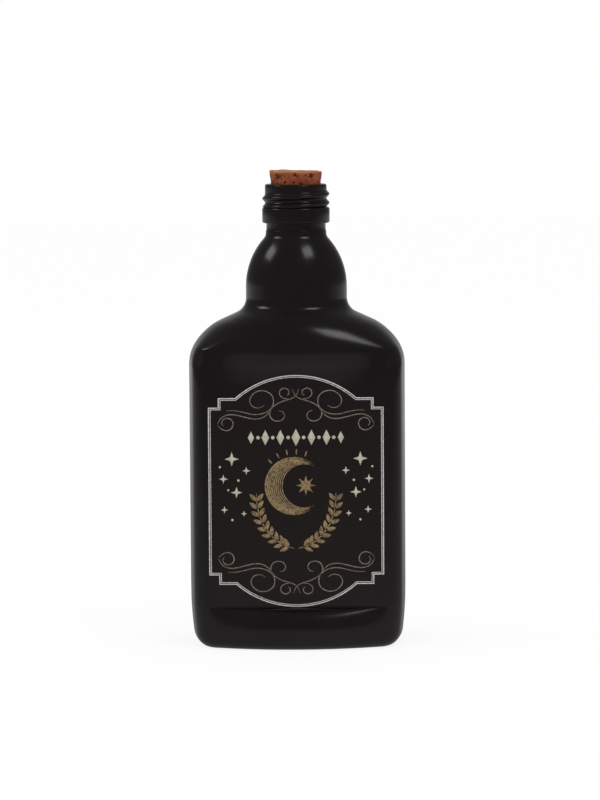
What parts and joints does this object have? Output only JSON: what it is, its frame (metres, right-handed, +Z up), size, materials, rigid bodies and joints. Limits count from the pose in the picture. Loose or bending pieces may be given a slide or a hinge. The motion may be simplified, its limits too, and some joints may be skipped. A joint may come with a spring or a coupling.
{
  "type": "bottle with cork",
  "caption": "Opaque black flat-sided bottle with a bell-shaped neck, a screw finish, a lift-out tapered cork and a plaque-shaped front label.",
  "frame": {"origin": "middle of the base, at the height of the surface the bottle stands on", "axes": "+Z up along the neck's axis, +X to the right across the broad faces, -Y out of the labelled front"},
  "size_m": [0.09, 0.064, 0.1974],
  "materials": {
    "black_glass": "fire-polished gloss, opaque black",
    "cork": "natural cork, fine grain with dark pits",
    "label_film": "black printed film, satin"
  },
  "bodies": {
    "bottle": {"bottle": "black_glass", "front_label": "label_film"},
    "cork": {"cork": "cork"}
  },
  "joints": [
    {"name": "cork_pull", "type": "slide", "parent": "bottle", "child": "cork", "axis": [0, 0, 1], "range_m": [0, 0.03]}
  ]
}
